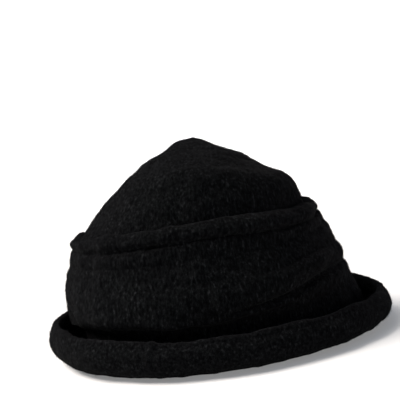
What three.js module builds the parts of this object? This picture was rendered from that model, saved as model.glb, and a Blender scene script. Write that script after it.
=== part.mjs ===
// A soft hat of boiled wool, which stands on its turned-up brim. A domed crown with a low, blunt
// peak and a few soft dents rises from inside a side band. The cloth of the band lies in level
// folds: a thick one stands round its top, a second one lies below that, and thinner ones crowd
// together at the front and die away towards the sides. The lowest fold hangs over the foot. The
// brim is sewn to the edge of the band and turns up all the way round, with its hem folded to the
// inside.
//
// Millimetres, +Z up, the wearer faces -Y. The origin is on the sole of the brim, under the middle
// of the hat. An angle round the hat is 0 at the front and grows towards +X.

import * as THREE from "three";
import { LoftGeometry } from "three/addons/geometries/LoftGeometry.js";

// Cloth and seams
const CLOTH = 2.6; // one layer of boiled wool
const SEAM_GAP = 0.3; // between two pieces that are sewn together

// The head is narrower towards the front, by this share of the width
const EGG_SHAPE = 0.06;

// How finely the cloth is faceted
const STEPS_AROUND = 60;
const CROWN_ROWS = 16;
const LINING_ROWS = 9; // on the inside of the crown and of the band
const CURL_STEPS = 5; // round the brim's turn-up
const RIM_STEPS = 3; // over the brim's rim
const NUDGE = 0.02; // step that the shell's slope is measured over, in rings and in radians

// The hat's shell: the outer face of the crown, which runs on down behind the band. Each ring is
// an oval. Its height (Z) and its distance from the hat's axis are given at the back, the sides
// and the front. Folds begin and end on the rings that are named creases.
const SHELL = [
  { at: "edge", backZ: 3.2, sideZ: 3.2, frontZ: 3.2, back: 94.5, side: 80.5, front: 100.5 },
  { at: "foot", backZ: 17.0, sideZ: 16.0, frontZ: 18.0, back: 91.0, side: 78.6, front: 98.0 },
  { at: "crease5", backZ: 29.5, sideZ: 29.5, frontZ: 35.0, back: 95.6, side: 79.4, front: 91.6 },
  { at: "crease4", backZ: 42.5, sideZ: 39.0, frontZ: 43.5, back: 101.2, side: 82.4, front: 88.6 },
  { at: "crease3", backZ: 53.6, sideZ: 54.0, frontZ: 56.5, back: 99.8, side: 79.4, front: 84.9 },
  { at: "crease2", backZ: 63.6, sideZ: 68.0, frontZ: 69.5, back: 97.0, side: 75.8, front: 77.8 },
  { at: "crease1", backZ: 75.0, sideZ: 80.5, frontZ: 80.5, back: 92.4, side: 72.8, front: 71.8 },
  { at: "bandTop", backZ: 84.2, sideZ: 91.0, frontZ: 89.0, back: 87.6, side: 68.0, front: 68.0 },
  { at: "wall", backZ: 97.9, sideZ: 103.3, frontZ: 100.5, back: 75.4, side: 63.8, front: 64.9 },
  { at: "shoulder", backZ: 112.5, sideZ: 115.5, frontZ: 108.2, back: 59.5, side: 57.5, front: 58.6 },
  { at: "cap", backZ: 124.0, sideZ: 125.0, frontZ: 116.5, back: 44.2, side: 44.5, front: 43.5 },
  { at: "slope", backZ: 131.9, sideZ: 131.6, frontZ: 124.8, back: 32.0, side: 30.0, front: 34.6 },
  { at: "neck", backZ: 137.0, sideZ: 136.7, frontZ: 131.2, back: 20.0, side: 16.5, front: 20.8 },
  { at: "peak", backZ: 140.7, sideZ: 140.5, frontZ: 138.0, back: 11.8, side: 6.5, front: 8.0 },
  { at: "tip", backZ: 142.3, sideZ: 142.3, frontZ: 142.3, back: 2.0, side: 0, front: -2.0 },
];
const ring = Object.fromEntries(SHELL.map((row, index) => [row.at, index]));
const CROWN_HEM = ring.crease1 - 0.55; // the crown's lower edge, behind the band
const BAND_BRINK = 0.85; // the band's inside ends at this share of the top fold's height

// Soft dents and bulges of the crown, the same on both sides of the hat. Each lies at an angle from
// the front and a height in rings, reaches a number of degrees and of rings, and stands out.
const DENTS = [
  { at: "notch behind the front lobe", degrees: 34, level: 10.75, wide: 22, tall: 0.5, out: -1.7 },
  { at: "brow over the steep side", degrees: 80, level: 9.6, wide: 42, tall: 0.5, out: 0.8 },
  { at: "hollow under the brow", degrees: 84, level: 8.6, wide: 55, tall: 0.6, out: -0.8 },
  { at: "swell at the back quarter", degrees: 128, level: 9.2, wide: 20, tall: 0.6, out: 1.0 },
];

// The band's plain foot, below the folds: rows at these shares of the lowest crease's height. It
// slants in to that crease where the crease is drawn in.
const FOOT_ROWS = [0, 0.27, 0.54, 0.8];

// A fold's outline, from its lower crease to its upper one: how far up the fold a point lies, and
// how far out it stands. It is fullest above its middle and turns under softly.
const FOLD_OUTLINE = [
  { up: 0.0, out: 0.0 },
  { up: 0.1, out: 0.25 },
  { up: 0.25, out: 0.56 },
  { up: 0.46, out: 0.88 },
  { up: 0.68, out: 1.0 },
  { up: 0.88, out: 0.52 },
];

// The band's folds, by their lower crease. The other columns have a value for each of five
// stations: front, front quarter, side, back quarter and back. lift is how far the crease lies
// above its ring, stand how far it stands out, and depth how far the fold stands out beyond it.
// The lowest fold hangs out over the foot at the back. The crease above it is drawn in at the
// front quarter, where the fold over it overhangs.
const FOLDS = [
  {
    lower: "crease5",
    lift: [0.2, -3.0, -2.9, 1.8, 0.3],
    stand: [0.3, -2.3, -1.7, 1.7, 6.8],
    depth: [1.9, 3.3, 3.0, 2.6, 0.7],
  },
  {
    lower: "crease4",
    lift: [1.4, 0.2, -3.1, 0.7, -0.6],
    stand: [-0.2, -3.8, 2.6, 2.4, -0.1],
    depth: [2.5, 4.8, 1.0, 0.4, 0.2],
  },
  {
    lower: "crease3",
    lift: [1.3, 0.7, -0.4, 0.2, -0.2],
    stand: [-0.1, 2.3, 1.9, 0.9, 0.2],
    depth: [1.1, 0.5, 0.3, 0.2, 0.4],
  },
  {
    lower: "crease2",
    lift: [0.6, 0.1, 0.4, 1.1, 0.5],
    stand: [0, 0.2, 0.3, 0.1, 0],
    depth: [1.8, 1.4, 1.3, 1.7, 1.2],
  },
];

// The thick fold round the band's top, at the same stations: lift of its lower crease, rise of the
// band's upper edge above its ring, thickness, how far up its outline is drawn at mid height, and
// how far its lower crease is filled up. Its outline stands out of the shell itself.
const TOP_FOLD = {
  lift: [-2.9, -4.0, -0.8, -1.6, 0.7],
  rise: [-3.5, -1.7, -0.6, -1.2, -3.4],
  thickness: [6.9, 6.4, 6.2, 6.1, 6.1],
  swell: [0.06, 0, 0, 0.07, 0.17],
  filling: [0.08, 0, 0, 0.3, 0.42],
};
const TOP_FOLD_OUTLINE = [
  { up: 0.0, out: 0.3 },
  { up: 0.07, out: 0.56 },
  { up: 0.16, out: 0.85 },
  { up: 0.36, out: 1.0 },
  { up: 0.56, out: 0.93 },
  { up: 0.73, out: 0.79 },
  { up: 0.88, out: 0.6 },
  { up: 0.98, out: 0.36 },
  { up: 0.93, out: 0.05 },
];

// The brim's rim, as one more oval, with how far it is lifted above that oval at the five stations
const RIM = { backZ: 26.5, sideZ: 24.3, frontZ: 22.8, back: 120.5, side: 103.0, front: 120.5 };
const RIM_LIFT = [0.1, 0.2, 0.3, 0.5, 0.8];

// The quarter round that turns the brim up to its rim, and how far the rim leans in from the brim's
// widest line, at the front, the side and the back
const TURN_UP_WIDTH = [17.5, 17, 20.5];
const TURN_UP_HEIGHT = [11.5, 15, 16];
const RIM_INSET = [4, 3.6, 3.2];
const LEAN_ROWS = [2 / 3, 1 / 3]; // between the rim and the widest line, by share of the height
const HEM_DEPTH = 9; // height of the hem that is folded into the trough
const COLLAR_ROWS = [0.7, 0.35]; // how far the brim's collar stands up inside the band, in rings

// Finish, the same for all pieces
const wool = () => new THREE.MeshStandardMaterial({ color: "#1b1c1e", roughness: 1, metalness: 0 });

// A value that changes smoothly round the hat and is the same on its left and its right, from its
// values at equal steps from the front to the back: the cosine series that runs through them
function around(stations, angle) {
  const last = stations.length - 1;
  let value = 0;
  for (let wave = 0; wave <= last; wave++) {
    const weights = stations.map((station, index) => {
      const share = index === 0 || index === last ? 1 / last : 2 / last;
      return share * station * Math.cos((Math.PI * wave * index) / last);
    });
    const sum = weights.reduce((total, weight) => total + weight, 0);
    value += (wave === 0 || wave === last ? sum / 2 : sum) * Math.cos(wave * angle);
  }
  return value;
}

// The row of the shell's table at any height between two rings, on a smooth curve through them
function shellRow(level) {
  const index = Math.min(Math.floor(level), SHELL.length - 2);
  const rows = [-1, 0, 1, 2].map((step) => {
    return SHELL[THREE.MathUtils.clamp(index + step, 0, SHELL.length - 1)];
  });
  const row = {};
  for (const column of ["backZ", "sideZ", "frontZ", "back", "side", "front"]) {
    const [before, start, end, after] = rows.map((neighbour) => neighbour[column]);
    const share = level - index;
    const startSlope = (end - before) / 2;
    const endSlope = (after - start) / 2;
    const bend = 2 * (start - end) + startSlope + endSlope;
    row[column] = start + share * (startSlope + share * (end - start - startSlope - bend * (1 - share)));
  }
  return row;
}

// The point of an oval ring at an angle
function ovalPoint(row, angle) {
  const centre = (row.front - row.back) / 2;
  const halfLength = (row.front + row.back) / 2;
  const height = around([row.frontZ, row.sideZ, row.backZ], angle);
  const halfWidth = row.side * (1 - EGG_SHAPE * Math.cos(angle));
  return new THREE.Vector3(halfWidth * Math.sin(angle), -centre - halfLength * Math.cos(angle), height);
}

// A point that stands out of the shell by a distance, square to its surface
function shellPoint(level, angle, out) {
  const top = SHELL.length - 1;
  const point = ovalPoint(shellRow(level), angle);
  if (level >= top) return point.add(new THREE.Vector3(0, 0, out));
  const above = ovalPoint(shellRow(Math.min(level + NUDGE, top)), angle);
  const below = ovalPoint(shellRow(Math.max(level - NUDGE, 0)), angle);
  const ahead = ovalPoint(shellRow(level), angle + NUDGE);
  const behind = ovalPoint(shellRow(level), angle - NUDGE);
  const outward = new THREE.Vector3().crossVectors(ahead.sub(behind), above.sub(below)).normalize();
  return point.addScaledVector(outward, out);
}

// How far the crown's dents and bulges move its cloth out
function dentOut(level, angle) {
  const degrees = THREE.MathUtils.radToDeg(Math.acos(Math.cos(angle)));
  return DENTS.reduce((total, dent) => {
    const across = (degrees - dent.degrees) / dent.wide;
    const along = (level - dent.level) / dent.tall;
    return total + dent.out * Math.exp(-(across ** 2) - along ** 2);
  }, 0);
}

// The crown: the shell from its tip down to the hem behind the band, and back up its inside
function crownSection(angle) {
  const top = SHELL.length - 1;
  const span = top - CROWN_HEM;
  const points = [];
  for (let i = 0; i <= CROWN_ROWS; i++) {
    const level = top - (span * i) / CROWN_ROWS;
    points.push(shellPoint(level, angle, dentOut(level, angle)));
  }
  for (let i = 0; i <= LINING_ROWS; i++) {
    const level = CROWN_HEM + (span * i) / LINING_ROWS;
    points.push(shellPoint(level, angle, dentOut(level, angle) - CLOTH));
  }
  return points;
}

// The height in rings of a crease that lies a lift above its ring
function creaseLevel(name, lift, angle) {
  const [below, above] = [SHELL[ring[name] - 1], SHELL[ring[name] + 1]];
  const meanZ = ({ backZ, sideZ, frontZ }) => (backZ + sideZ + frontZ) / 3;
  return ring[name] + (2 * around(lift, angle)) / (meanZ(above) - meanZ(below));
}

// The band: its foot and its folds from the edge up, over its top, and down its smooth inside. The
// list is turned round at the end, so that its faces look outwards.
function bandSection(angle) {
  const { lerp } = THREE.MathUtils;
  const creases = FOLDS.map(({ lower, lift }) => creaseLevel(lower, lift, angle));
  creases.push(creaseLevel("crease1", TOP_FOLD.lift, angle));
  const stands = FOLDS.map(({ stand }) => around(stand, angle));
  stands.push(0);
  const drawnIn = Math.min(stands[0], 0);
  const points = FOOT_ROWS.map((share) => {
    return shellPoint(creases[0] * share, angle, SEAM_GAP + CLOTH + drawnIn * share);
  });
  FOLDS.forEach(({ depth }, index) => {
    const fullness = around(depth, angle);
    for (const { up, out } of FOLD_OUTLINE) {
      const level = lerp(creases[index], creases[index + 1], up);
      const stand = lerp(stands[index], stands[index + 1], up);
      points.push(shellPoint(level, angle, SEAM_GAP + CLOTH + stand + fullness * out));
    }
  });
  const low = creases[FOLDS.length];
  const high = creaseLevel("bandTop", TOP_FOLD.rise, angle);
  const thickness = around(TOP_FOLD.thickness, angle);
  const swell = around(TOP_FOLD.swell, angle);
  const filling = around(TOP_FOLD.filling, angle);
  for (const { up, out } of TOP_FOLD_OUTLINE) {
    const level = lerp(low, high, up + swell * Math.sin(Math.PI * up));
    const filled = filling * (1 - out) * (1 - up) ** 4;
    points.push(shellPoint(level, angle, SEAM_GAP + thickness * (out + filled)));
  }
  const brink = lerp(low, high, BAND_BRINK);
  for (let i = 0; i <= LINING_ROWS; i++) {
    points.push(shellPoint(brink * (1 - i / LINING_ROWS), angle, SEAM_GAP));
  }
  return points.reverse();
}

// The brim: down the outside of its collar, out along the trough, up and over the rim, and back
// underneath
function brimSection(angle) {
  const edge = ovalPoint(SHELL[0], angle);
  const rim = ovalPoint(RIM, angle);
  const outward = new THREE.Vector3(rim.x - edge.x, rim.y - edge.y, 0);
  const width = outward.length();
  outward.normalize();
  const at = (out, height) => edge.clone().addScaledVector(outward, out).setZ(height);
  // points on the arc of an ellipse, between two angles in quarter turns
  const arc = (centreOut, centreZ, halfWidth, halfHeight, from, to, steps) => {
    return Array.from({ length: steps + 1 }, (_, i) => {
      const turn = ((from + ((to - from) * i) / steps) * Math.PI) / 2;
      return at(centreOut + halfWidth * Math.cos(turn), centreZ + halfHeight * Math.sin(turn));
    });
  };
  const turnUp = around(TURN_UP_WIDTH, angle);
  const turnUpHeight = around(TURN_UP_HEIGHT, angle);
  const inset = around(RIM_INSET, angle);
  const rimZ = rim.z + around(RIM_LIFT, angle);
  const soleEnd = width - turnUp;
  const hemEnd = rimZ - HEM_DEPTH;
  const rimOut = width - inset - CLOTH; // the hem makes the rim two layers thick
  const wallHeight = rimZ - CLOTH - turnUpHeight;
  return [
    ...COLLAR_ROWS.map((level) => shellPoint(level, angle, 0)),
    at(0, CLOTH),
    ...arc(soleEnd, turnUpHeight, turnUp - CLOTH, turnUpHeight - CLOTH, -1, 0, CURL_STEPS),
    at(rimOut - SEAM_GAP, hemEnd - SEAM_GAP),
    at(rimOut - CLOTH, hemEnd + CLOTH / 2),
    ...arc(rimOut, rimZ - CLOTH, CLOTH, CLOTH, 2, 0, RIM_STEPS),
    ...LEAN_ROWS.map((up) => at(width - inset * up ** 2, turnUpHeight + wallHeight * up)),
    ...arc(soleEnd, turnUpHeight, turnUp, turnUpHeight, 0, -1, CURL_STEPS),
    at(SEAM_GAP - CLOTH, 0),
    ...COLLAR_ROWS.map((level) => shellPoint(level, angle, -CLOTH)).reverse(),
  ];
}

// A named solid, lofted round the hat through one section for each step
function pieceOfCloth(name, section, closed) {
  const sections = [];
  for (let i = 0; i <= STEPS_AROUND; i++) {
    sections.push(section(((i % STEPS_AROUND) / STEPS_AROUND) * Math.PI * 2));
  }
  const mesh = new THREE.Mesh(new LoftGeometry(sections, { closed }), wool());
  mesh.name = name;
  return mesh;
}

const hat = new THREE.Group();
hat.add(pieceOfCloth("crown", crownSection, false));
hat.add(pieceOfCloth("side_band", bandSection, true));
hat.add(pieceOfCloth("brim", brimSection, true));

export default hat;
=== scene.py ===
"""A soft hat of boiled wool, dressed round its solid frame.

The hat is sewn from three pieces of cloth: a domed crown with a low, blunt peak, a side band that
lies in level folds, and a brim that turns up all the way round. Each piece is a closed skin of
dense mesh on the same shell as its solid, with the waver, dents and creases of real cloth, and
each carries a nap of short fibres.

Sizes in tables and fields are millimetres, and meshes are made in metres. +Z is up and the wearer
faces -Y. An angle round the hat is 0 at the front and grows towards +X.
"""

import logging
import math
from dataclasses import dataclass
from enum import Enum, IntEnum
from functools import partial
from typing import Any, NamedTuple

import bpy
import numpy as np
from mathutils import Matrix, Vector

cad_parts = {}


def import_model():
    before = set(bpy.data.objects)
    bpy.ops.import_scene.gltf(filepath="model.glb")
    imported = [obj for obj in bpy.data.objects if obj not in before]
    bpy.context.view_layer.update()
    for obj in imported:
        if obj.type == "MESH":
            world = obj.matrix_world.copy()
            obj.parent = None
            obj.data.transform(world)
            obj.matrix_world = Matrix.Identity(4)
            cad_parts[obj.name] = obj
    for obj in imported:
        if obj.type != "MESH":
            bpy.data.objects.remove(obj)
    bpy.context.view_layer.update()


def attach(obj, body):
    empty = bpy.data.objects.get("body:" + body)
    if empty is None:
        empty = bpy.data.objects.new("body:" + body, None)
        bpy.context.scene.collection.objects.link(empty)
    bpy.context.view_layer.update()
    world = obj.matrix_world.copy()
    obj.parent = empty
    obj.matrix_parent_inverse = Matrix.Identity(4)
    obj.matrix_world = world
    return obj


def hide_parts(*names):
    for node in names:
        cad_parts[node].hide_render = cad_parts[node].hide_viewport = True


log = logging.getLogger("wool_hat")

Pair = tuple[float, float]
Place = tuple[float, float, float]
Stations = tuple[float, ...]  # values at equal steps from the hat's front to its back

MM = 0.001
TINY = 1e-12
BODY = "root"


# Small helpers


def linear(code: str) -> tuple[float, float, float, float]:
    """Turns an sRGB hex colour into a linear one.

    Args:
        code: the colour as "#rrggbb".

    Returns:
        Red, green, blue and an alpha of 1.
    """
    parts = [int(code[i : i + 2], 16) / 255 for i in (1, 3, 5)]
    red, green, blue = (
        part / 12.92 if part <= 0.04045 else ((part + 0.055) / 1.055) ** 2.4 for part in parts
    )
    return red, green, blue, 1.0


def add_node(
    tree: bpy.types.NodeTree,
    kind: str,
    output: str | int | None,
    inputs: dict[str | int, Any],
    **settings: str,
) -> Any:
    """Adds a node to a tree, with its settings and links.

    Args:
        tree: the shader or geometry tree.
        kind: the node's type.
        output: which output to give, or None for all of them.
        inputs: for each input, a value or the output that is linked to it.
        settings: values of the node's own properties.

    Returns:
        The output, or all of the node's outputs.
    """
    node = tree.nodes.new(kind)
    for key, value in settings.items():
        setattr(node, key, value)
    for key, value in inputs.items():
        if isinstance(value, bpy.types.NodeSocket):
            tree.links.new(value, node.inputs[key])
        else:
            node.inputs[key].default_value = value
    return node.outputs if output is None else node.outputs[output]


def smooth_step(low: float, high: float, values: np.ndarray) -> np.ndarray:
    """Rises smoothly from 0 to 1, between a low and a high value."""
    share = np.clip((values - low) / (high - low), 0, 1)
    return share * share * (3 - 2 * share)


def round_the_hat(stations: Stations, angle: np.ndarray) -> np.ndarray:
    """A value that changes smoothly round the hat, the same on its left and its right.

    Args:
        stations: the values at the stations.
        angle: the angles round the hat.

    Returns:
        The value at each angle.
    """
    count = len(stations)
    orders = np.arange(count)
    at_stations = np.cos(np.outer(np.linspace(0, math.pi, count), orders))
    weights = np.linalg.solve(at_stations, np.array(stations))
    return sum(weight * np.cos(order * angle) for order, weight in enumerate(weights))


def smooth_between(rows: np.ndarray, place: np.ndarray) -> np.ndarray:
    """Values on a smooth curve through rows of control values.

    Args:
        rows: the control values, one row after the other.
        place: places on the curve, counted in rows.

    Returns:
        The row of values at each place.
    """
    last = len(rows) - 1
    place = np.clip(place, 0, last)
    index = np.minimum(np.floor(place).astype(int), last - 1)
    share = np.reshape(place - index, np.shape(place) + (1,) * (rows.ndim - 1))
    before, start = rows[np.maximum(index - 1, 0)], rows[index]
    end, after = rows[index + 1], rows[np.minimum(index + 2, last)]
    start_slope, end_slope = (end - before) / 2, (after - start) / 2
    bend = 2 * (start - end) + start_slope + end_slope
    step = end - start - start_slope - bend * (1 - share)
    return start + share * (start_slope + share * step)


def unit_vectors(vectors: np.ndarray) -> np.ndarray:
    """Vectors of the same directions with a length of 1; those without a length stay so."""
    return vectors / np.maximum(np.linalg.norm(vectors, axis=-1, keepdims=True), TINY)


def grid_faces(count: int, columns: int, joined: bool) -> list[list[int]]:
    """Faces of a grid of points whose rows are closed rings.

    Args:
        count: how many rows the grid has.
        columns: how many points are in a row.
        joined: True where the last row joins the first.

    Returns:
        The four corners of each face, by the numbers of the points.
    """
    index = np.arange(count * columns).reshape(count, columns)
    if joined:
        index = np.concatenate([index, index[:1]])
    beside = np.roll(index, -1, axis=1)
    corners = np.stack([index[:-1], index[1:], beside[1:], beside[:-1]], -1)
    return corners.reshape(-1, 4).tolist()


def smooth_mesh(name: str, points: list, faces: list) -> bpy.types.Mesh:
    """Makes a smooth-shaded mesh.

    Args:
        name: its name.
        points: its points, in metres.
        faces: the corners of each face, by the numbers of the points.

    Returns:
        The new mesh.
    """
    mesh = bpy.data.meshes.new(name)
    mesh.from_pydata(points, [], faces)
    mesh.polygons.foreach_set("use_smooth", [True] * len(faces))
    return mesh


def scene_object(name: str, data: bpy.types.ID) -> bpy.types.Object:
    """Makes an object and puts it into the scene.

    Args:
        name: its name.
        data: its mesh, lamp or lens.

    Returns:
        The new object.
    """
    made = bpy.data.objects.new(name, data)
    bpy.context.scene.collection.objects.link(made)
    return made


@dataclass(frozen=True)
class Waver:
    """An irregular waver round the hat, made of a few harmonics.

    Attributes:
        seed: fixes its shape.
        slowest: the fewest waves round the hat.
        fastest: the most.
        size: its spread.
        mixture: the least and the most that a harmonic weighs.
    """

    seed: int
    slowest: int = 2
    fastest: int = 9
    size: float = 1.0
    mixture: Pair = (0.6, 1.4)

    def at(self, angle: np.ndarray) -> np.ndarray:
        """The waver at each angle.

        Args:
            angle: angles round the hat.

        Returns:
            Values of up to about twice the size, to either side of 0.
        """
        rng = np.random.default_rng(self.seed)
        orders = np.arange(self.slowest, self.fastest + 1)
        sizes = rng.uniform(*self.mixture, len(orders)) / np.sqrt(orders)
        phases = rng.uniform(0, 2 * math.pi, len(orders))
        waves = [s * np.cos(k * angle + p) for s, k, p in zip(sizes, orders, phases)]
        return self.size * (sum(waves) / math.sqrt(float((sizes**2).sum()) / 2))


@dataclass(frozen=True)
class Unevenness:
    """A smooth, irregular height field in space, made of plane waves.

    Attributes:
        seed: fixes its shape.
        shortest: the shortest wavelength.
        longest: the longest wavelength.
        size: its spread.
        waves: how many waves it is made of.
    """

    seed: int
    shortest: float
    longest: float
    size: float
    waves: int = 60

    def at(self, points: np.ndarray) -> np.ndarray:
        """The field's height at each point.

        Args:
            points: points in millimetres.

        Returns:
            Values of up to about twice the size, to either side of 0.
        """
        rng = np.random.default_rng(self.seed)
        lengths = np.exp(rng.uniform(math.log(self.shortest), math.log(self.longest), self.waves))
        directions = unit_vectors(rng.normal(size=(self.waves, 3)))
        phases = rng.uniform(0, 2 * math.pi, self.waves)
        total = np.zeros(points.shape[:-1])
        for direction, length, phase in zip(directions, lengths, phases):
            total += np.cos(points @ (direction * (2 * math.pi / length)) + phase)
        return total * math.sqrt(2 / self.waves) * self.size


# The shell that all three pieces lie on


class Level(IntEnum):
    """Rings of the shell, counted upwards from the band's edge, which is 0."""

    CREASE5 = 2
    CREASE4 = 3
    CREASE3 = 4
    CREASE2 = 5
    CREASE1 = 6
    BAND_TOP = 7
    TIP = 14


class Ring(NamedTuple):
    """One oval ring: its height and its distance from the axis at the back, sides and front."""

    back_z: float
    side_z: float
    front_z: float
    back: float
    side: float
    front: float


@dataclass(frozen=True)
class Shell:
    """The hat's shell: the outer face of the crown, which runs on down behind the band.

    Attributes:
        rings: the oval rings from the band's edge up to the tip, as Level counts them.
        egg: the share of the width by which the head narrows towards the front.
        nudge: the step that the surface's slope is measured over, in rings and in radians.
    """

    rings: tuple[Ring, ...] = (
        Ring(3.2, 3.2, 3.2, 94.5, 80.5, 100.5),
        Ring(17.0, 16.0, 18.0, 91.0, 78.6, 98.0),
        Ring(29.5, 29.5, 35.0, 95.6, 79.4, 91.6),
        Ring(42.5, 39.0, 43.5, 101.2, 82.4, 88.6),
        Ring(53.6, 54.0, 56.5, 99.8, 79.4, 84.9),
        Ring(63.6, 68.0, 69.5, 97.0, 75.8, 77.8),
        Ring(75.0, 80.5, 80.5, 92.4, 72.8, 71.8),
        Ring(84.2, 91.0, 89.0, 87.6, 68.0, 68.0),
        Ring(97.9, 103.3, 100.5, 75.4, 63.8, 64.9),
        Ring(112.5, 115.5, 108.2, 59.5, 57.5, 58.6),
        Ring(124.0, 125.0, 116.5, 44.2, 44.5, 43.5),
        Ring(131.9, 131.6, 124.8, 32.0, 30.0, 34.6),
        Ring(137.0, 136.7, 131.2, 20.0, 16.5, 20.8),
        Ring(140.7, 140.5, 138.0, 11.8, 6.5, 8.0),
        Ring(142.3, 142.3, 142.3, 2.0, 0.0, -2.0),
    )
    egg: float = 0.06
    nudge: float = 0.02

    def row(self, level: np.ndarray) -> np.ndarray:
        """The six columns of Ring at any heights, counted in rings, on a new last axis."""
        return smooth_between(np.array(self.rings), level)

    def oval(self, row: np.ndarray, angle: np.ndarray) -> np.ndarray:
        """Points of oval rings.

        Args:
            row: the rings' columns.
            angle: the angles round the hat.

        Returns:
            The points, in millimetres.
        """
        back_z, side_z, front_z, back, side, front = np.moveaxis(row, -1, 0)
        middle = (back_z + front_z) / 2
        height = middle + (front_z - back_z) / 2 * np.cos(angle)
        height = height + (side_z - middle) * np.sin(angle) ** 2
        x = side * (1 - self.egg * np.cos(angle)) * np.sin(angle)
        y = -(front - back) / 2 - (front + back) / 2 * np.cos(angle)
        return np.stack([x, y, height], -1)

    def point(self, level: np.ndarray, angle: np.ndarray, out: np.ndarray) -> np.ndarray:
        """Points that stand out of the shell, square to its surface.

        Args:
            level: heights counted in rings.
            angle: the angles round the hat.
            out: how far each point stands out.

        Returns:
            The points, in millimetres.
        """
        level, angle, out = np.broadcast_arrays(level, angle, out)
        row = self.row(level)
        above = self.oval(self.row(level + self.nudge), angle)
        below = self.oval(self.row(level - self.nudge), angle)
        ahead, behind = self.oval(row, angle + self.nudge), self.oval(row, angle - self.nudge)
        outward = unit_vectors(np.cross(ahead - behind, above - below))
        outward = np.where((level >= Level.TIP)[..., None], np.array([0.0, 0.0, 1.0]), outward)
        return self.oval(row, angle) + outward * out[..., None]


SHELL = Shell()
CLOTH = 2.6  # one layer of boiled wool
SEAM_GAP = 0.3  # between two pieces that are sewn together
SOLE_CLEAR = (2.6, 5.0)  # heights between which the nap begins, so that none is under the sole
INNER_CLEAR = (6.0, 12.0)  # heights between which the faint nap of the inner faces begins
INNER_NAP = 0.2  # how thick the nap of the inner faces is beside that of the outer ones
COLUMNS = 360  # of each skin, round the hat
ANGLES = np.arange(COLUMNS) * (2 * math.pi / COLUMNS)


def grid_normals(rows: np.ndarray) -> np.ndarray:
    """Unit normals of rows of points round the hat, which run downwards on the outside."""
    across = np.roll(rows, -1, axis=1) - np.roll(rows, 1, axis=1)
    return unit_vectors(np.cross(np.gradient(rows, axis=0), across))


def skin_object(name: str, rows: np.ndarray, nap: np.ndarray, domed: bool) -> bpy.types.Object:
    """Makes a closed skin from rows of points round the hat.

    Args:
        name: the new object's name.
        rows: the points in millimetres, row by row down the outside and up the inside.
        nap: how thickly fibres grow at each point, from 0 to 1.
        domed: True where the first and the last row close to a tip, False where they join.

    Returns:
        The new object, with the nap as a point attribute.
    """
    count, columns = rows.shape[:2]
    points, growth = rows.reshape(-1, 3), nap.reshape(-1)
    faces = grid_faces(count, columns, joined=not domed)
    if domed:
        points = np.concatenate([points, [rows[0].mean(0), rows[-1].mean(0)]])
        growth = np.concatenate([growth, [growth[0], growth[-1]]])
        top, bottom, last = len(points) - 2, len(points) - 1, (count - 1) * columns
        beside = np.roll(np.arange(columns), -1).tolist()
        faces += [[top, this, other] for this, other in enumerate(beside)]
        faces += [[bottom, last + other, last + this] for this, other in enumerate(beside)]
    mesh = smooth_mesh(name, (points * MM).tolist(), faces)
    mesh.attributes.new("nap", "FLOAT", "POINT").data.foreach_set("value", growth)
    mesh.update()
    return scene_object(name, mesh)


# Finishes


class Lay(Enum):
    """How the streaks of the matted knit run."""

    UPRIGHT = (1.0, 1.0, 0.45)
    EVEN = (1.0, 1.0, 0.7)


class Grain(NamedTuple):
    """The grain of a pattern in the cloth: its size in millimetres, its detail and roughness."""

    size: float
    detail: float
    roughness: float


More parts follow.
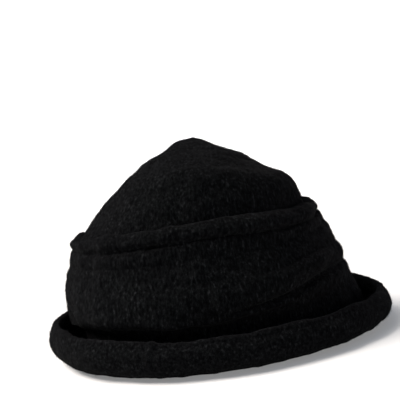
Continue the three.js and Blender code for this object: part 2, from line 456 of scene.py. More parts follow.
@dataclass(frozen=True)
class BoiledWool:
    """Boiled wool: a knit, shrunk and matted in hot water until its stitches close up.

    The eye sees a dull, near-black cloth with no gloss, flecked with paler and darker hairs, with
    short streaks where the ribs of the knit were, and slow clouds where it matted unevenly.

    Attributes:
        name: the material's name.
        lay: how the streaks run.
        shade: the cloth's main colour.
        dark: the colour between the tufts.
        pale: the colour of the palest hairs.
        streak: the streaks, from one to the next. The knit's ribs are about 1.2 mm apart.
        fleck: the flecks. Single hairs are too fine to show, so flecks stand for tufts.
        cloud: the slow changes.
        body: heights of streaks and flecks together, between which the main colour begins.
        hairs: heights between which the palest hairs begin.
        hair_strength: how much of their own colour they show.
        clouds: heights of the clouds between which they lighten the cloth.
        clouding: how bright they leave it, at the least and at the most.
        relief: height of the matted tufts in the bump.
        bump: strength of the bump.
        sheen: strength of the pale edge that the standing hairs give.
        sheen_spread: how wide that edge is.
        gloss: specular level; wool has next to none.
    """

    name: str
    lay: Lay
    shade: str = "#0e0f10"
    dark: str = "#030304"
    pale: str = "#262729"
    streak: Grain = Grain(1.9, 3.0, 0.65)
    fleck: Grain = Grain(1.4, 2.0, 0.7)
    cloud: Grain = Grain(22.0, 2.0, 0.5)
    body: Pair = (0.8, 1.2)
    hairs: Pair = (1.12, 1.36)
    hair_strength: float = 0.6
    clouds: Pair = (0.3, 0.7)
    clouding: Pair = (0.9, 1.1)
    relief: float = 0.4
    bump: float = 0.6
    sheen: float = 0.006
    sheen_spread: float = 0.6
    gloss: float = 0.01

    def material(self) -> bpy.types.Material:
        """Builds the material.

        Returns:
            The new material.
        """
        material = bpy.data.materials.new(self.name)
        material.use_nodes = True
        tree = material.node_tree
        tree.nodes.clear()
        node = partial(add_node, tree)

        def noise(place: Any, grain: Grain) -> Any:
            """Adds a noise of a certain grain."""
            scale = 1 / (grain.size * MM)
            inputs = {"Scale": scale, "Detail": grain.detail, "Roughness": grain.roughness}
            return node("ShaderNodeTexNoise", 0, {"Vector": place} | inputs)

        def spread(value: Any, low: Pair, high: Pair, curve: str) -> Any:
            """Maps the range between two values to another range."""
            inputs = {"From Min": low[0], "From Max": low[1], "To Min": high[0], "To Max": high[1]}
            inputs["Value"] = value
            return node("ShaderNodeMapRange", "Result", inputs, interpolation_type=curve)

        def mixed(share: Any, base: Any, code: str) -> Any:
            """Mixes a second colour into a first one."""
            inputs = {"Factor": share, 6: base, 7: linear(code)}
            return node("ShaderNodeMix", 2, inputs, data_type="RGBA")

        place = node("ShaderNodeTexCoord", "Object", {})
        scale = {"Vector": place, "Scale": self.lay.value}
        ribs = node("ShaderNodeMapping", "Vector", scale, vector_type="POINT")
        both = {0: noise(ribs, self.streak), 1: noise(ribs, self.fleck)}
        matting = node("ShaderNodeMath", 0, both, operation="ADD")
        body = spread(matting, self.body, (0.0, 1.0), "SMOOTHSTEP")
        hairs = spread(matting, self.hairs, (0.0, self.hair_strength), "SMOOTHSTEP")
        flecked = mixed(hairs, mixed(body, linear(self.dark), self.shade), self.pale)
        cloudiness = spread(noise(place, self.cloud), self.clouds, self.clouding, "LINEAR")
        clouded = {0: flecked, "Scale": cloudiness}
        relief = {"Height": matting, "Strength": self.bump, "Distance": self.relief * MM}
        cloth = {
            "Base Color": node("ShaderNodeVectorMath", "Vector", clouded, operation="SCALE"),
            "Roughness": 1.0,
            "Specular IOR Level": self.gloss,
            "Sheen Weight": self.sheen,
            "Sheen Roughness": self.sheen_spread,
            "Normal": node("ShaderNodeBump", "Normal", relief),
        }
        surface = {"Surface": node("ShaderNodeBsdfPrincipled", "BSDF", cloth)}
        node("ShaderNodeOutputMaterial", None, surface)
        return material


@dataclass(frozen=True)
class PlainPaper:
    """Matt white studio paper, a pale ground with no gloss, which glows a little by itself:
    painted light that keeps the shadows on it pale.

    Attributes:
        shade: the paper's colour.
        light: how brightly the paper glows by itself, a painted light that lightens the shadows on
            it.
    """

    shade: str = "#c4c4c4"
    light: float = 0.2

    def material(self) -> bpy.types.Material:
        """Builds the material.

        Returns:
            The new material.
        """
        material = bpy.data.materials.new("matt_studio_paper")
        material.use_nodes = True
        shader = material.node_tree.nodes["Principled BSDF"]
        shader.inputs["Base Color"].default_value = linear(self.shade)
        shader.inputs["Roughness"].default_value = 1.0
        shader.inputs["Specular IOR Level"].default_value = 0.0
        # The paper's own glow is painted light: it lightens the hat's shadow on the floor.
        shader.inputs["Emission Color"].default_value = (1.0, 1.0, 1.0, 1.0)
        shader.inputs["Emission Strength"].default_value = self.light
        return material


# The nap


@dataclass(frozen=True)
class Nap:
    """The short fibres that stand off matted wool, scattered over a skin by geometry nodes.

    Attributes:
        density: fibres on each square millimetre, where the skin's own nap is full.
        seed: fixes where they stand.
        length: of the longest fibre.
        shortest: the shortest one's length, as a share of that.
        thickness: a real one is 0.03 mm; drawn as thick as it needs to be to show.
        bow: how far a fibre bends, as a share of its length.
        flattest: the most that a fibre leans over from upright, in degrees.
        steepest: the least.
    """

    density: float
    seed: int
    length: float = 2.2
    shortest: float = 0.45
    thickness: float = 0.16
    bow: float = 0.12
    flattest: float = 86.0
    steepest: float = 38.0

    def tree(self) -> bpy.types.NodeTree:
        """Builds the node tree that scatters the fibres.

        Returns:
            The tree, whose inputs are the skin, the sizes, the seed, the fibre and its material.
        """
        tree = bpy.data.node_groups.new("fibres_on_cloth", "GeometryNodeTree")
        sizes = ("Density", "Shortest", "Longest", "Steepest", "Flattest")
        sockets = {"Skin": "Geometry"} | dict.fromkeys(sizes, "Float")
        sockets |= {"Seed": "Int", "Fibre": "Object", "Material": "Material"}
        for name, kind in sockets.items():
            tree.interface.new_socket(name, in_out="INPUT", socket_type="NodeSocket" + kind)
        tree.interface.new_socket("Fibres", in_out="OUTPUT", socket_type="NodeSocketGeometry")
        node = partial(add_node, tree)
        given = node("NodeGroupInput", None, {})

        def number(operation: str, first: Any, second: Any) -> Any:
            """Reckons with two numbers."""
            return node("ShaderNodeMath", 0, {0: first, 1: second}, operation=operation)

        def chance(least: Any, most: Any, seed: Any) -> Any:
            """A random number for each fibre."""
            inputs = {2: least, 3: most, "Seed": seed}
            return node("FunctionNodeRandomValue", 1, inputs, data_type="FLOAT")

        growth = node("GeometryNodeInputNamedAttribute", "Attribute", {"Name": "nap"})
        thickly = number("MULTIPLY", growth, given["Density"])
        skin = {"Mesh": given["Skin"], "Density": thickly, "Seed": given["Seed"]}
        roots = node("GeometryNodeDistributePointsOnFaces", None, skin)
        lean = chance(given["Steepest"], given["Flattest"], given["Seed"])
        turn = chance(0.0, 2 * math.pi, number("ADD", given["Seed"], 1.0))
        size = chance(given["Shortest"], given["Longest"], number("ADD", given["Seed"], 2.0))
        swing = node("ShaderNodeCombineXYZ", 0, {"X": lean, "Z": turn})
        swung = node("FunctionNodeEulerToRotation", 0, {0: swing})
        stance = {"Rotation": roots["Rotation"], "Rotate By": swung}
        planted = {
            "Points": roots["Points"],
            "Instance": node("GeometryNodeObjectInfo", "Geometry", {"Object": given["Fibre"]}),
            "Rotation": node("FunctionNodeRotateRotation", 0, stance, rotation_space="LOCAL"),
            "Scale": size,
        }
        instances = {"Geometry": node("GeometryNodeInstanceOnPoints", "Instances", planted)}
        real = node("GeometryNodeRealizeInstances", "Geometry", instances)
        dressed = {"Geometry": real, "Material": given["Material"]}
        fibres = node("GeometryNodeSetMaterial", "Geometry", dressed)
        node("NodeGroupOutput", None, {"Fibres": fibres})
        return tree

    def fibre(self) -> bpy.types.Object:
        """Builds one fibre: a bent spindle of six triangles, with its root at the origin.

        Returns:
            The fibre, which is linked to no collection.
        """
        half, bow = self.length * MM / 2, self.length * MM * self.bow
        thick = self.thickness * MM / 2
        ring = [
            (bow + thick * math.cos(turn), thick * math.sin(turn), half)
            for turn in (0, 2 * math.pi / 3, 4 * math.pi / 3)
        ]
        points = [(0.0, 0.0, -thick), *ring, (-bow, 0.0, 2 * half)]
        sides = [(1, 2), (2, 3), (3, 1)]
        faces = [(0, b, a) for a, b in sides] + [(4, a, b) for a, b in sides]
        return bpy.data.objects.new("fibre", smooth_mesh("fibre", points, faces))

    def grow(self, skin: bpy.types.Object, material: bpy.types.Material) -> bpy.types.Object:
        """Grows the fibres on a skin.

        Args:
            skin: the cloth, with a nap attribute.
            material: the fibres' material.

        Returns:
            The fibres, as one plain mesh object.
        """
        tree, fibre = self.tree(), self.fibre()
        host = scene_object(skin.name + "_host", skin.data)
        modifier = host.modifiers.new("fibres", "NODES")
        modifier.node_group = tree
        values = {
            "Density": self.density / MM**2,
            "Shortest": self.shortest,
            "Longest": 1.0,
            "Steepest": math.radians(self.steepest),
            "Flattest": math.radians(self.flattest),
            "Seed": self.seed,
            "Fibre": fibre,
            "Material": material,
        }
        for item in tree.interface.items_tree:
            if item.in_out == "INPUT" and item.name in values:
                modifier[item.identifier] = values[item.name]
        host.update_tag()
        bpy.context.view_layer.update()
        graph = bpy.context.evaluated_depsgraph_get()
        mesh = bpy.data.meshes.new_from_object(host.evaluated_get(graph), depsgraph=graph)
        bpy.data.objects.remove(host)
        bpy.data.objects.remove(fibre)
        return scene_object(skin.name + "_nap", mesh)


# The three pieces of cloth


class Dent(NamedTuple):
    """A soft dent or bulge in the cloth. Angles are degrees from the front, to either side."""

    angle: float
    level: float
    wide: float  # reach round the hat, in degrees
    tall: float  # reach up and down, in rings
    out: float  # how far the cloth stands out, below 0 for a dent


@dataclass(frozen=True)
class ClothPiece:
    """A sewn piece of the hat: what its skin and its nap have in common.

    Attributes:
        node: the solid that it stands for, which it hides and whose name its skin takes.
        wool: the cloth's finish.
        nap: the fibres on it.
        slow: the cloth's slow unevenness.
        quick: the unevenness of the matting.
        domed: True where the first and the last row of points close to a tip.
    """

    node: str
    wool: BoiledWool
    nap: Nap
    slow: Unevenness
    quick: Unevenness
    domed: bool = False

    def rows(self) -> tuple[np.ndarray, np.ndarray]:
        """The skin's points and how far each lies on the outside of the hat."""
        raise NotImplementedError

    def build(self) -> None:
        """Builds the piece and its nap, and dresses them."""
        rows, outside = self.rows()
        relief = self.slow.at(rows) + self.quick.at(rows)
        rows = rows + grid_normals(rows) * (relief * outside)[..., None]
        height = rows[..., 2]
        faint = INNER_NAP * smooth_step(*INNER_CLEAR, height)
        growth = (faint + (1 - INNER_NAP) * outside) * smooth_step(*SOLE_CLEAR, height)
        skin = skin_object(self.node + "_cloth", rows, growth, self.domed)
        material = self.wool.material()
        skin.data.materials.append(material)
        nap = self.nap.grow(skin, material)
        for piece in (skin, nap):
            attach(piece, BODY)
            piece.data.calc_loop_triangles()
            log.info("%s: %d triangles", piece.name, len(piece.data.loop_triangles))
        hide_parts(self.node)


@dataclass(frozen=True)
class Crown(ClothPiece):
    """The domed crown, which hangs inside the side band.

    Attributes:
        hem: the height of its lower edge behind the band, in rings.
        outer_rows: rows of its outer face.
        inner_rows: rows of its inner face.
        hem_fade: how far above the hem the cloth becomes as uneven as the rest, in rings.
        tip_fade: how far below the tip, likewise.
        dents: the dents and bulges of its cloth.
    """

    domed: bool = True
    hem: float = Level.CREASE1 - 0.55
    outer_rows: int = 112
    inner_rows: int = 30
    hem_fade: float = 0.6
    tip_fade: float = 0.5
    dents: tuple[Dent, ...] = (
        Dent(53, 8.9, 3.0, 0.75, -0.9),  # groove that sets the front lobe off
        Dent(47, 8.9, 3.4, 0.7, 0.5),
        Dent(32, 10.75, 20, 0.36, -2.3),  # notch between the lobe and the peak
        Dent(6, 9.55, 26, 0.28, -0.8),
        Dent(6, 10.3, 26, 0.35, 0.7),
        Dent(20, 9.7, 22, 0.5, 0.7),
        Dent(80, 9.6, 42, 0.34, 0.9),  # brow of the cap, over the steep wall
        Dent(84, 8.6, 55, 0.5, -0.9),
        Dent(128, 9.2, 20, 0.45, 1.2),
    )

    def dented(self, level: np.ndarray) -> np.ndarray:
        """How far the dents and bulges move the cloth out.

        Args:
            level: heights in rings, a row for each.

        Returns:
            The distance at each height and at each of the angles round the hat.
        """
        around = np.degrees(np.arccos(np.cos(ANGLES)))
        out = np.zeros((len(level), COLUMNS))
        for dent in self.dents:
            across = np.exp(-(((around - dent.angle) / dent.wide) ** 2))
            along = np.exp(-(((level - dent.level) / dent.tall) ** 2))
            out += dent.out * across * along
        return out

    def rows(self) -> tuple[np.ndarray, np.ndarray]:
        """The skin's points and how far each lies on the outside of the hat.

        Returns:
            Rows of points from the tip down to the hem and back up inside, and a weight for each
            point, 1 on the outer face and 0 on the hem and the inner face.
        """
        top = float(Level.TIP)
        step = (top - self.hem) / self.outer_rows
        outer = np.linspace(top - step, self.hem, self.outer_rows)[:, None]
        inner = np.linspace(self.hem, top - step, self.inner_rows)[:, None]
        rows = np.concatenate(
            [
                SHELL.point(outer, ANGLES, self.dented(outer)),
                SHELL.point(inner, ANGLES, self.dented(inner) - CLOTH),
            ]
        )
        weight = smooth_step(self.hem, self.hem + self.hem_fade, outer)
        weight = weight * smooth_step(top, top - self.tip_fade, outer)
        outside = np.concatenate([weight, np.zeros_like(inner)])
        return rows, np.broadcast_to(outside, rows.shape[:2])


class Fold(NamedTuple):
    """A level fold of the side band, by its lower crease."""

    lower: Level
    lift: Stations  # the lower crease's height above its ring
    stand: Stations  # how far the lower crease stands out
    depth: Stations  # how far the fold stands out beyond its creases


class Outline(NamedTuple):
    """The outline of a fold: how far up the fold its points lie and how far out they stand."""

    ups: tuple[float, ...]
    outs: tuple[float, ...]


@dataclass(frozen=True)
class SideBand(ClothPiece):
    """The side band, with its thick top fold and its thinner folds.

    Attributes:
        folds: the folds below the top one, from below.
        fold_outline: outline of each of them, which turns under softly, from its crease up.
        top_lift: the height of the top fold's lower crease above its ring.
        top_rise: the height of the band's upper edge above its ring.
        top_thickness: how thick the top fold is.
        top_swell: how far up its outline is drawn at mid height, which makes its underside
            softer and its top squarer.
        top_filling: how far its lower crease is filled up.
        filling_fade: how fast that filling thins out upwards.
        top_outline: outline of the top fold, from its lower crease over its top.
        foot_rows: rows on the plain foot.
        lining_rows: rows on the inside.
        steps: rows for each point of an outline.
        brink: how far below the end of the top fold's outline the inside begins, in rings.
        crease_waver: how far creases waver, in rings.
        depth_waver: how much the depth of a fold wavers, as a share of it.
        depth_seed: of the lowest fold's depth; each further fold has the next.
        thickness_waver: how the top fold's thickness wavers, as a share of it.
        edge_fade: heights, in rings, between which the foot becomes as uneven as the folds.
        brink_fade: distances out of the shell between which the top fold's inner end does.
    """

    folds: tuple[Fold, ...] = (
        Fold(
            Level.CREASE5,
            (0.0, -1.2, -4.5, -2.4, 0.4, 2.2, -0.4),
            (0.0, -1.0, -2.8, -1.6, 0.0, 3.8, 7.0),
            (1.2, 3.4, 3.0, 3.2, 3.0, 1.6, 1.0),
        ),
        Fold(
            Level.CREASE4,
            (1.0, 1.5, -1.6, -3.2, 0.0, 0.0, 0.0),
            (-0.4, -2.6, -3.0, 2.8, 3.6, 1.2, -0.2),
            (2.2, 4.4, 4.0, 1.0, 0.2, 0.3, 0.4),
        ),
        Fold(
            Level.CREASE3,
            (0.3, 2.0, -0.5, 0.0, 0.0, 0.0, 0.0),
            (0.0, 1.2, 2.8, 1.8, 1.2, 0.6, 0.2),
            (1.2, 0.7, 0.4, 0.3, 0.2, 0.3, 0.4),
        ),
        Fold(
            Level.CREASE2,
            (1.0, 0.0, 0.3, 0.2, 1.1, 0.9, 0.5),
            (0.0, 0.0, 0.3, 0.3, 0.3, 0.0, 0.0),
            (1.8, 1.6, 1.3, 1.3, 1.7, 1.5, 1.2),
        ),
    )
    fold_outline: Outline = Outline(
        (0.0, 0.1, 0.25, 0.46, 0.68, 0.88),
        (0.0, 0.25, 0.56, 0.88, 1.0, 0.52),
    )
    top_lift: Stations = (-2.9, -3.9, -3.2, -0.6, -1.7, -0.6, 0.5)
    top_rise: Stations = (-3.4, -2.6, -1.3, -0.4, -1.1, -1.4, -4.0)
    top_thickness: Stations = (6.9, 6.6, 6.3, 6.2, 6.2, 6.0, 6.2)
    top_swell: Stations = (0.06, 0.03, 0.0, 0.0, 0.05, 0.1, 0.18)
    top_filling: Stations = (0.1, 0.0, 0.0, 0.0, 0.2, 0.38, 0.42)
    filling_fade: int = 4
    top_outline: Outline = Outline(
        (0.0, 0.07, 0.16, 0.27, 0.38, 0.56, 0.73, 0.88, 0.98, 0.99, 0.93),
        (0.3, 0.56, 0.85, 0.98, 1.0, 0.93, 0.79, 0.6, 0.36, 0.16, 0.05),
    )
    foot_rows: int = 14
    lining_rows: int = 24
    steps: int = 4
    brink: float = 0.1
    crease_waver: float = 0.035
    depth_waver: float = 0.14
    depth_seed: int = 40
    thickness_waver: Waver = Waver(60, 3, 10, 0.05)
    edge_fade: Pair = (0.0, 0.6)
    brink_fade: Pair = (0.8, 3.0)

    def ring_height(self, ring: Level) -> float:
        """The mean height between a ring's two neighbours, in millimetres for each ring."""
        heights = np.array(SHELL.rings)[:, :3].mean(1)
        return float(heights[min(ring + 1, Level.TIP)] - heights[max(ring - 1, 0)]) / 2

    def crease(self, ring: Level, lift: Stations) -> np.ndarray:
        """The height, in rings, of a crease that wavers round the hat above one of the rings."""
        rise = round_the_hat(lift, ANGLES) / self.ring_height(ring)
        return ring + rise + Waver(ring, size=self.crease_waver).at(ANGLES)

    def outline(self) -> tuple[np.ndarray, np.ndarray]:
        """The control points of the folds.

        Returns:
            Heights in rings and distances out of the shell, a row for each control point.
        """
        levels: list[np.ndarray] = []
        outs: list[np.ndarray] = []
        creases = [self.crease(fold.lower, fold.lift) for fold in self.folds]
        creases.append(self.crease(Level.CREASE1, self.top_lift))
        stands = [round_the_hat(fold.stand, ANGLES) for fold in self.folds]
        stands.append(np.zeros(COLUMNS))
        for number, fold in enumerate(self.folds):
            low, high = creases[number], creases[number + 1]
            stand, next_stand = stands[number], stands[number + 1]
            waver = Waver(self.depth_seed + number, 2, 7, self.depth_waver)
            depth = round_the_hat(fold.depth, ANGLES) * (1 + waver.at(ANGLES))
            for up, out in zip(*self.fold_outline):
                levels.append(low + (high - low) * up)
                base = stand + (next_stand - stand) * up
                outs.append(SEAM_GAP + CLOTH + base + depth * out)
        low, high = creases[-1], self.crease(Level.BAND_TOP, self.top_rise)
        thickness = round_the_hat(self.top_thickness, ANGLES)
        thickness = thickness * (1 + self.thickness_waver.at(ANGLES))
        swell = round_the_hat(self.top_swell, ANGLES)
        filling = round_the_hat(self.top_filling, ANGLES)
        for up, out in zip(*self.top_outline):
            levels.append(low + (high - low) * (up + swell * math.sin(math.pi * up)))
            filled = filling * (1 - out) * (1 - up) ** self.filling_fade
            outs.append(SEAM_GAP + thickness * (out + filled))
        return np.array(levels), np.array(outs)

    def rows(self) -> tuple[np.ndarray, np.ndarray]:
        """The skin's points and how far each lies on the outside of the hat.

        Returns:
            Rows of points from the band's top down to its edge and back up inside, and a weight
            for each point, 1 on the folds and 0 on the edge and the inner face.
        """
        levels, outs = self.outline()
        last = len(levels) - 1
        places = np.linspace(0, last, last * self.steps + 1)
        fold_rows = smooth_between(np.stack([levels, outs], -1), places)
        crease, crease_out = fold_rows[0, :, 0], fold_rows[0, :, 1]
        share = np.linspace(0, 1, self.foot_rows, endpoint=False)[:, None]
        drawn_in = np.minimum(crease_out - SEAM_GAP - CLOTH, 0)
        foot = np.stack([crease * share, SEAM_GAP + CLOTH + drawn_in * share], -1)
        outer = np.concatenate([foot, fold_rows])[::-1]
        heights = np.linspace(0, 1, self.lining_rows)[:, None] * (levels[-1] - self.brink)
        lining = np.stack([heights, np.full_like(heights, SEAM_GAP)], -1)
        both = np.concatenate([outer, lining])
        rows = SHELL.point(both[..., 0], ANGLES, both[..., 1])
        weight = smooth_step(*self.edge_fade, outer[..., 0])
        weight = weight * smooth_step(*self.brink_fade, outer[..., 1])
        return rows, np.concatenate([weight, np.zeros((self.lining_rows, COLUMNS))])


@dataclass(frozen=True)
class Brim(ClothPiece):
    """The brim: a collar inside the band, a trough, and a turned-up wall with a folded hem.

    Attributes:
        rim: the oval of the rim.
        rim_lift: how far it stands above that oval.
        turn_up_width: width of the quarter round that turns the brim up.
        turn_up_height: its height.
        rim_inset: how far the rim leans in from the brim's widest line.
        hem_depth: height of the hem that is folded into the trough.
        hem_edge: the rounding of the hem's edge: its way in, as a share of the cloth, and down.
        collar: heights of the points of the collar inside the band, in rings.
        rim_waver: how the rim wavers up and down.
        width_waver: how the brim's width wavers.
        trough_steps: steps over the trough's quarter round.
        rim_steps: steps over the rim.
        turn_up_steps: steps over the quarter round that turns the brim up.
        lean_steps: steps down the wall below the rim.
        straight_steps: steps from the trough to the hem, up the hem, and along the sole.
        bare: rows beside the collar that stay even, on the inside and on the sole.
        fade: rows over which the cloth becomes as uneven as the rest.
        seam_angle: where the brim's ends are sewn together, in degrees.
        seam_height: height of the ridge where they are sewn.
        seam_groove: depth of the groove beside it, as a share of its height.
        groove_place: how far from its middle that lies, in half widths of the ridge.
        seam_width: half the width of the ridge.
        seam_reach: how far to each side of the seam the columns stand closer, in degrees.
        seam_columns: how many stand there.
    """

    rim: Ring = Ring(26.5, 24.3, 22.8, 120.5, 103.0, 120.5)
    rim_lift: Stations = (0.1, 0.2, 0.3, 0.2, 0.6, 0.4, 1.0)
    turn_up_width: Stations = (17.5, 17.0, 20.5)
    turn_up_height: Stations = (11.5, 15.0, 16.0)
    rim_inset: Stations = (4.0, 3.6, 3.2)
    hem_depth: float = 9.0
    hem_edge: Pair = (0.6, 0.1)
    collar: tuple[float, ...] = (0.7, 0.55, 0.4, 0.25, 0.12)
    rim_waver: Waver = Waver(21, 3, 12, 0.45)
    width_waver: Waver = Waver(22, 3, 12, 0.3)
    trough_steps: int = 14
    rim_steps: int = 12
    turn_up_steps: int = 22
    lean_steps: int = 8
    straight_steps: tuple[int, int, int] = (3, 5, 4)
    bare: tuple[int, int] = (2, 6)
    fade: int = 8
    seam_angle: float = -112.6
    seam_height: float = 0.6
    seam_groove: float = 0.25
    groove_place: float = 1.8
    seam_width: float = 1.9
    seam_reach: float = 4.0
    seam_columns: int = 25

    def angles(self) -> np.ndarray:
        """The angles of the skin's columns, which stand closer at the seam."""
        middle = math.radians(self.seam_angle) % (2 * math.pi)
        reach = math.radians(self.seam_reach)
        extra = np.linspace(middle - reach, middle + reach, self.seam_columns)
        apart = np.abs(ANGLES - middle) > reach
        return np.sort(np.concatenate([ANGLES[apart], extra]))

    def section(self, angle: np.float64) -> np.ndarray:
        """The brim's outline at an angle.

        Args:
            angle: the angle round the hat.

        Returns:
            Points down the collar's outside, out along the trough, over the rim and back below.
        """
        edge = SHELL.oval(SHELL.row(np.float64(0)), angle)
        rim = SHELL.oval(np.array(self.rim), angle)
        rim_z = float(rim[2] + round_the_hat(self.rim_lift, angle) + self.rim_waver.at(angle))
        reach = np.append((rim - edge)[:2], 0)
        width = float(np.linalg.norm(reach) + self.width_waver.at(angle))
        outward = reach / np.linalg.norm(reach)

        def at(out: float, height: float) -> np.ndarray:
            """A point of the section, by its distance out of the band's edge and its height."""
            return np.array([edge[0], edge[1], height]) + outward * out

        def arc(middle: Pair, radii: Pair, turns: Pair, steps: int) -> list[np.ndarray]:
            """Points on the arc of an ellipse, between two angles in quarter turns."""
            (out, height), (wide, tall) = middle, radii
            angles = np.linspace(*turns, steps + 1) * (math.pi / 2)
            return [at(out + wide * math.cos(t), height + tall * math.sin(t)) for t in angles]

        def line(start: np.ndarray, end: np.ndarray, steps: int) -> list[np.ndarray]:
            """Points between two others, without those two."""
            return [start + (end - start) * (i / steps) for i in range(1, steps)]

        turn_up, high, inset = (
            float(round_the_hat(sizes, angle))
            for sizes in (self.turn_up_width, self.turn_up_height, self.rim_inset)
        )
        turn_up_middle = (width - turn_up, high)
        hem_end = rim_z - self.hem_depth
        rim_out = width - inset - CLOTH
        trough = arc(turn_up_middle, (turn_up - CLOTH, high - CLOTH), (-1, 0), self.trough_steps)
        in_share, down = self.hem_edge
        lip = [
            at(rim_out - SEAM_GAP, hem_end - SEAM_GAP),
            at(rim_out - CLOTH * in_share, hem_end - down),
            at(rim_out - CLOTH, hem_end + CLOTH / 2),
        ]
        over = arc((rim_out, rim_z - CLOTH), (CLOTH, CLOTH), (2, 0), self.rim_steps)
        wall = arc(turn_up_middle, (turn_up, high), (0, -1), self.turn_up_steps)
        tall = rim_z - CLOTH - high
        lean = [
            at(width - inset * share**2, high + tall * share)
            for share in np.linspace(1, 0, self.lean_steps + 1)[1:-1]
        ]
        to_hem, up_hem, along_sole = self.straight_steps
        sole_corner = at(SEAM_GAP - CLOTH, 0)
        return np.array(
            [
                *SHELL.point(np.array(self.collar), angle, np.float64(0)),
                at(0, CLOTH),
                *trough,
                *line(trough[-1], lip[0], to_hem),
                *lip,
                *line(lip[-1], over[0], up_hem),
                *over,
                *lean,
                *wall,
                *line(wall[-1], sole_corner, along_sole),
                sole_corner,
                *SHELL.point(np.array(self.collar[::-1]), angle, np.float64(-CLOTH)),
            ]
        )

    def rows(self) -> tuple[np.ndarray, np.ndarray]:
        """The skin's points and how far each lies on the outside of the hat.

        Returns:
            Rows of points and a weight for each, 1 on the open cloth and 0 on the collar and on
            the sole that the hat stands on.
        """
        angles = self.angles()
        rows = np.swapaxes(np.array([self.section(angle) for angle in angles]), 0, 1)
        place = np.arange(len(rows))[:, None]
        first = len(self.collar) + self.bare[0]
        last = len(rows) - len(self.collar) - self.bare[1]
        outside = smooth_step(first, first + self.fade, place)
        outside = outside * smooth_step(last, last - self.fade, place)
        outside = np.broadcast_to(outside, rows.shape[:2])
        distance = (np.degrees(angles) - self.seam_angle + 180) % 360 - 180
        share = np.radians(distance) * np.linalg.norm(rows[..., :2], axis=-1) / self.seam_width
        groove = self.seam_groove * np.exp(-((share - self.groove_place) ** 2))
        seam = self.seam_height * (np.exp(-(share**2)) - groove)
        return rows + grid_normals(rows) * (seam * outside)[..., None], outside


# The studio


@dataclass(frozen=True)
class Studio:
    """A pale paper sweep under soft light.

    Attributes:
        flat_radii: rings of the flat floor, in metres.
        sweep_radius: radius of the sweep that turns it up, in metres.
        sweep_steps: steps up the sweep.
        wall_height: height of the wall above the sweep, in metres.
        columns: points round the floor.
        key: strength of the main light.
        key_from: where the main light comes from.
        softness: how wide the main light looks, in degrees.
        top: strength of the light from above.
        top_from: where the light from above comes from.
        top_softness: how wide the light from above looks, in degrees.
        lamp_shade: the colour of both, a little warm.
        fill: strength of the light from all round.
        fill_shade: its colour, a cool one.
        wash: strength of the lamp that washes the wall behind the hat.
        wash_size: its size, in metres.
        wash_from: its place, in metres.
        wash_at: the point of the wall that it faces, in metres.
    """

    flat_radii: tuple[float, ...] = (0.0001, 0.4, 2.2)
    sweep_radius: float = 0.5
    sweep_steps: int = 12
    wall_height: float = 0.35
    columns: int = 96
    key: float = 5.8
    key_from: Place = (0.0, 0.66, 0.75)
    softness: float = 28.0
    top: float = 1.75
    top_from: Place = (0.15, 0.5, 0.85)
    top_softness: float = 60.0
    lamp_shade: str = "#fff8f1"
    fill: float = 0.18
    fill_shade: str = "#b8d4ff"
    wash: float = 60.0
    wash_size: Pair = (2.2, 0.6)
    wash_from: Place = (1.3, 0.0, 1.5)
    wash_at: Place = (2.7, 0.0, 0.35)

    def sweep(self) -> None:
        """Builds the round floor that turns up into a wall."""
        profile = [(radius, 0.0) for radius in self.flat_radii]
        for turn in np.linspace(0, math.pi / 2, self.sweep_steps + 1)[1:]:
            radius = self.flat_radii[-1] + self.sweep_radius * math.sin(turn)
            profile.append((radius, self.sweep_radius * (1 - math.cos(turn))))
        profile.append((profile[-1][0], profile[-1][1] + self.wall_height))
        points = [
            (radius * math.cos(angle), radius * math.sin(angle), height)
            for radius, height in profile
            for angle in np.linspace(0, 2 * math.pi, self.columns, endpoint=False)
        ]
        faces = [face[::-1] for face in grid_faces(len(profile), self.columns, joined=False)]
        floor = scene_object("paper_sweep", smooth_mesh("paper_sweep", points, faces))
        floor.data.materials.append(PlainPaper().material())

    def lights(self) -> None:
        """Sets the main light, the light from above, the wall's lamp and the light all round."""
        for name, strength, direction, softness in (
            ("soft_key", self.key, self.key_from, self.softness),
            ("soft_top", self.top, self.top_from, self.top_softness),
        ):
            lamp = bpy.data.lights.new(name, "SUN")
            lamp.energy = strength
            lamp.color = linear(self.lamp_shade)[:3]
            lamp.angle = math.radians(softness)
            light = scene_object(name, lamp)
            light.rotation_euler = Vector(direction).to_track_quat("Z", "Y").to_euler()
        panel = bpy.data.lights.new("wall_wash", "AREA")
        panel.shape = "RECTANGLE"
        panel.energy = self.wash
        panel.size, panel.size_y = self.wash_size
        wash = scene_object("wall_wash", panel)
        away = Vector(self.wash_from) - Vector(self.wash_at)
        wash.location = self.wash_from
        wash.rotation_euler = away.to_track_quat("Z", "Y").to_euler()
        world = bpy.data.worlds.new("soft_room")
        world.use_nodes = True
        background = world.node_tree.nodes["Background"]
        background.inputs["Color"].default_value = linear(self.fill_shade)
        background.inputs["Strength"].default_value = self.fill
        bpy.context.scene.world = world
        bpy.context.scene.view_settings.view_transform = "Standard"

    def build(self) -> None:
        """Builds the floor and the lights."""
        self.sweep()
        self.lights()
        log.info("studio: floor and lights")


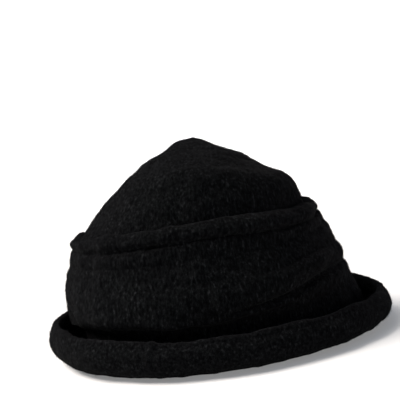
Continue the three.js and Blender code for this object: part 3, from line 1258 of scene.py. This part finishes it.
@dataclass(frozen=True)
class PhotoCamera:
    """The camera of the photograph, which sees the hat's side from a little above.

    Attributes:
        aim: the point that it is aimed by, in millimetres.
        pixel: where that point lies in the picture.
        elevation: the camera's height over that point, in degrees.
        roll: how far the picture is turned, in degrees.
        distance: from that point, in millimetres.
        focal: the focal length in pixels.
        picture: the picture's width in pixels.
        sensor: the sensor's width in millimetres.
    """

    aim: Place = (0.0, 0.0, 24.5)
    pixel: Pair = (218.1, 301.2)
    elevation: float = 12.3
    roll: float = 7.8
    distance: float = 600.0
    focal: float = 838.0
    picture: float = 400.0
    sensor: float = 36.0

    def build(self) -> None:
        """Builds the camera and makes it the scene's own."""
        rise = math.radians(self.elevation)
        back = Vector((-math.cos(rise), 0.0, math.sin(rise)))
        right = Vector((0.0, 0.0, 1.0)).cross(back).normalized()
        up = back.cross(right)
        level = Matrix((right, up, back)).transposed()
        rolled = level @ Matrix.Rotation(-math.radians(self.roll), 3, "Z")
        middle = self.picture / 2
        across, down = self.pixel
        ray = Vector(((across - middle) / self.focal, (middle - down) / self.focal, -1.0))
        shift = Vector((0.0, 0.0, -1.0)).rotation_difference(ray).to_matrix()
        turn = rolled @ shift.transposed()
        lens = bpy.data.cameras.new("photo_camera")
        lens.sensor_width = self.sensor
        lens.lens = self.focal / self.picture * self.sensor
        camera = scene_object("photo_camera", lens)
        place = (Vector(self.aim) + back * self.distance) * MM
        camera.matrix_world = Matrix.Translation(place) @ turn.to_4x4()
        bpy.context.scene.camera = camera
        log.info("camera: %.0f mm from the hat", self.distance)


def main() -> None:
    """Builds the hat round its frame, and the studio."""
    logging.basicConfig(level=logging.INFO, format="%(name)s: %(message)s")
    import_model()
    PhotoCamera().build()
    Studio().build()
    pieces = (
        Crown(
            node="crown",
            wool=BoiledWool("boiled_wool_crown", Lay.UPRIGHT),
            nap=Nap(density=0.62, seed=11),
            slow=Unevenness(3, 16.0, 42.0, size=0.5),
            quick=Unevenness(4, 5.0, 11.0, size=0.16),
        ),
        SideBand(
            node="side_band",
            wool=BoiledWool("boiled_wool_side_band", Lay.UPRIGHT),
            nap=Nap(density=0.5, seed=21),
            slow=Unevenness(5, 18.0, 50.0, size=0.6),
            quick=Unevenness(6, 5.0, 11.0, size=0.16),
        ),
        Brim(
            node="brim",
            wool=BoiledWool("boiled_wool_brim", Lay.EVEN),
            nap=Nap(density=0.5, seed=31),
            slow=Unevenness(7, 14.0, 40.0, size=0.35),
            quick=Unevenness(8, 5.0, 10.0, size=0.16),
        ),
    )
    for piece in pieces:
        piece.build()


if __name__ == "__main__":
    main()
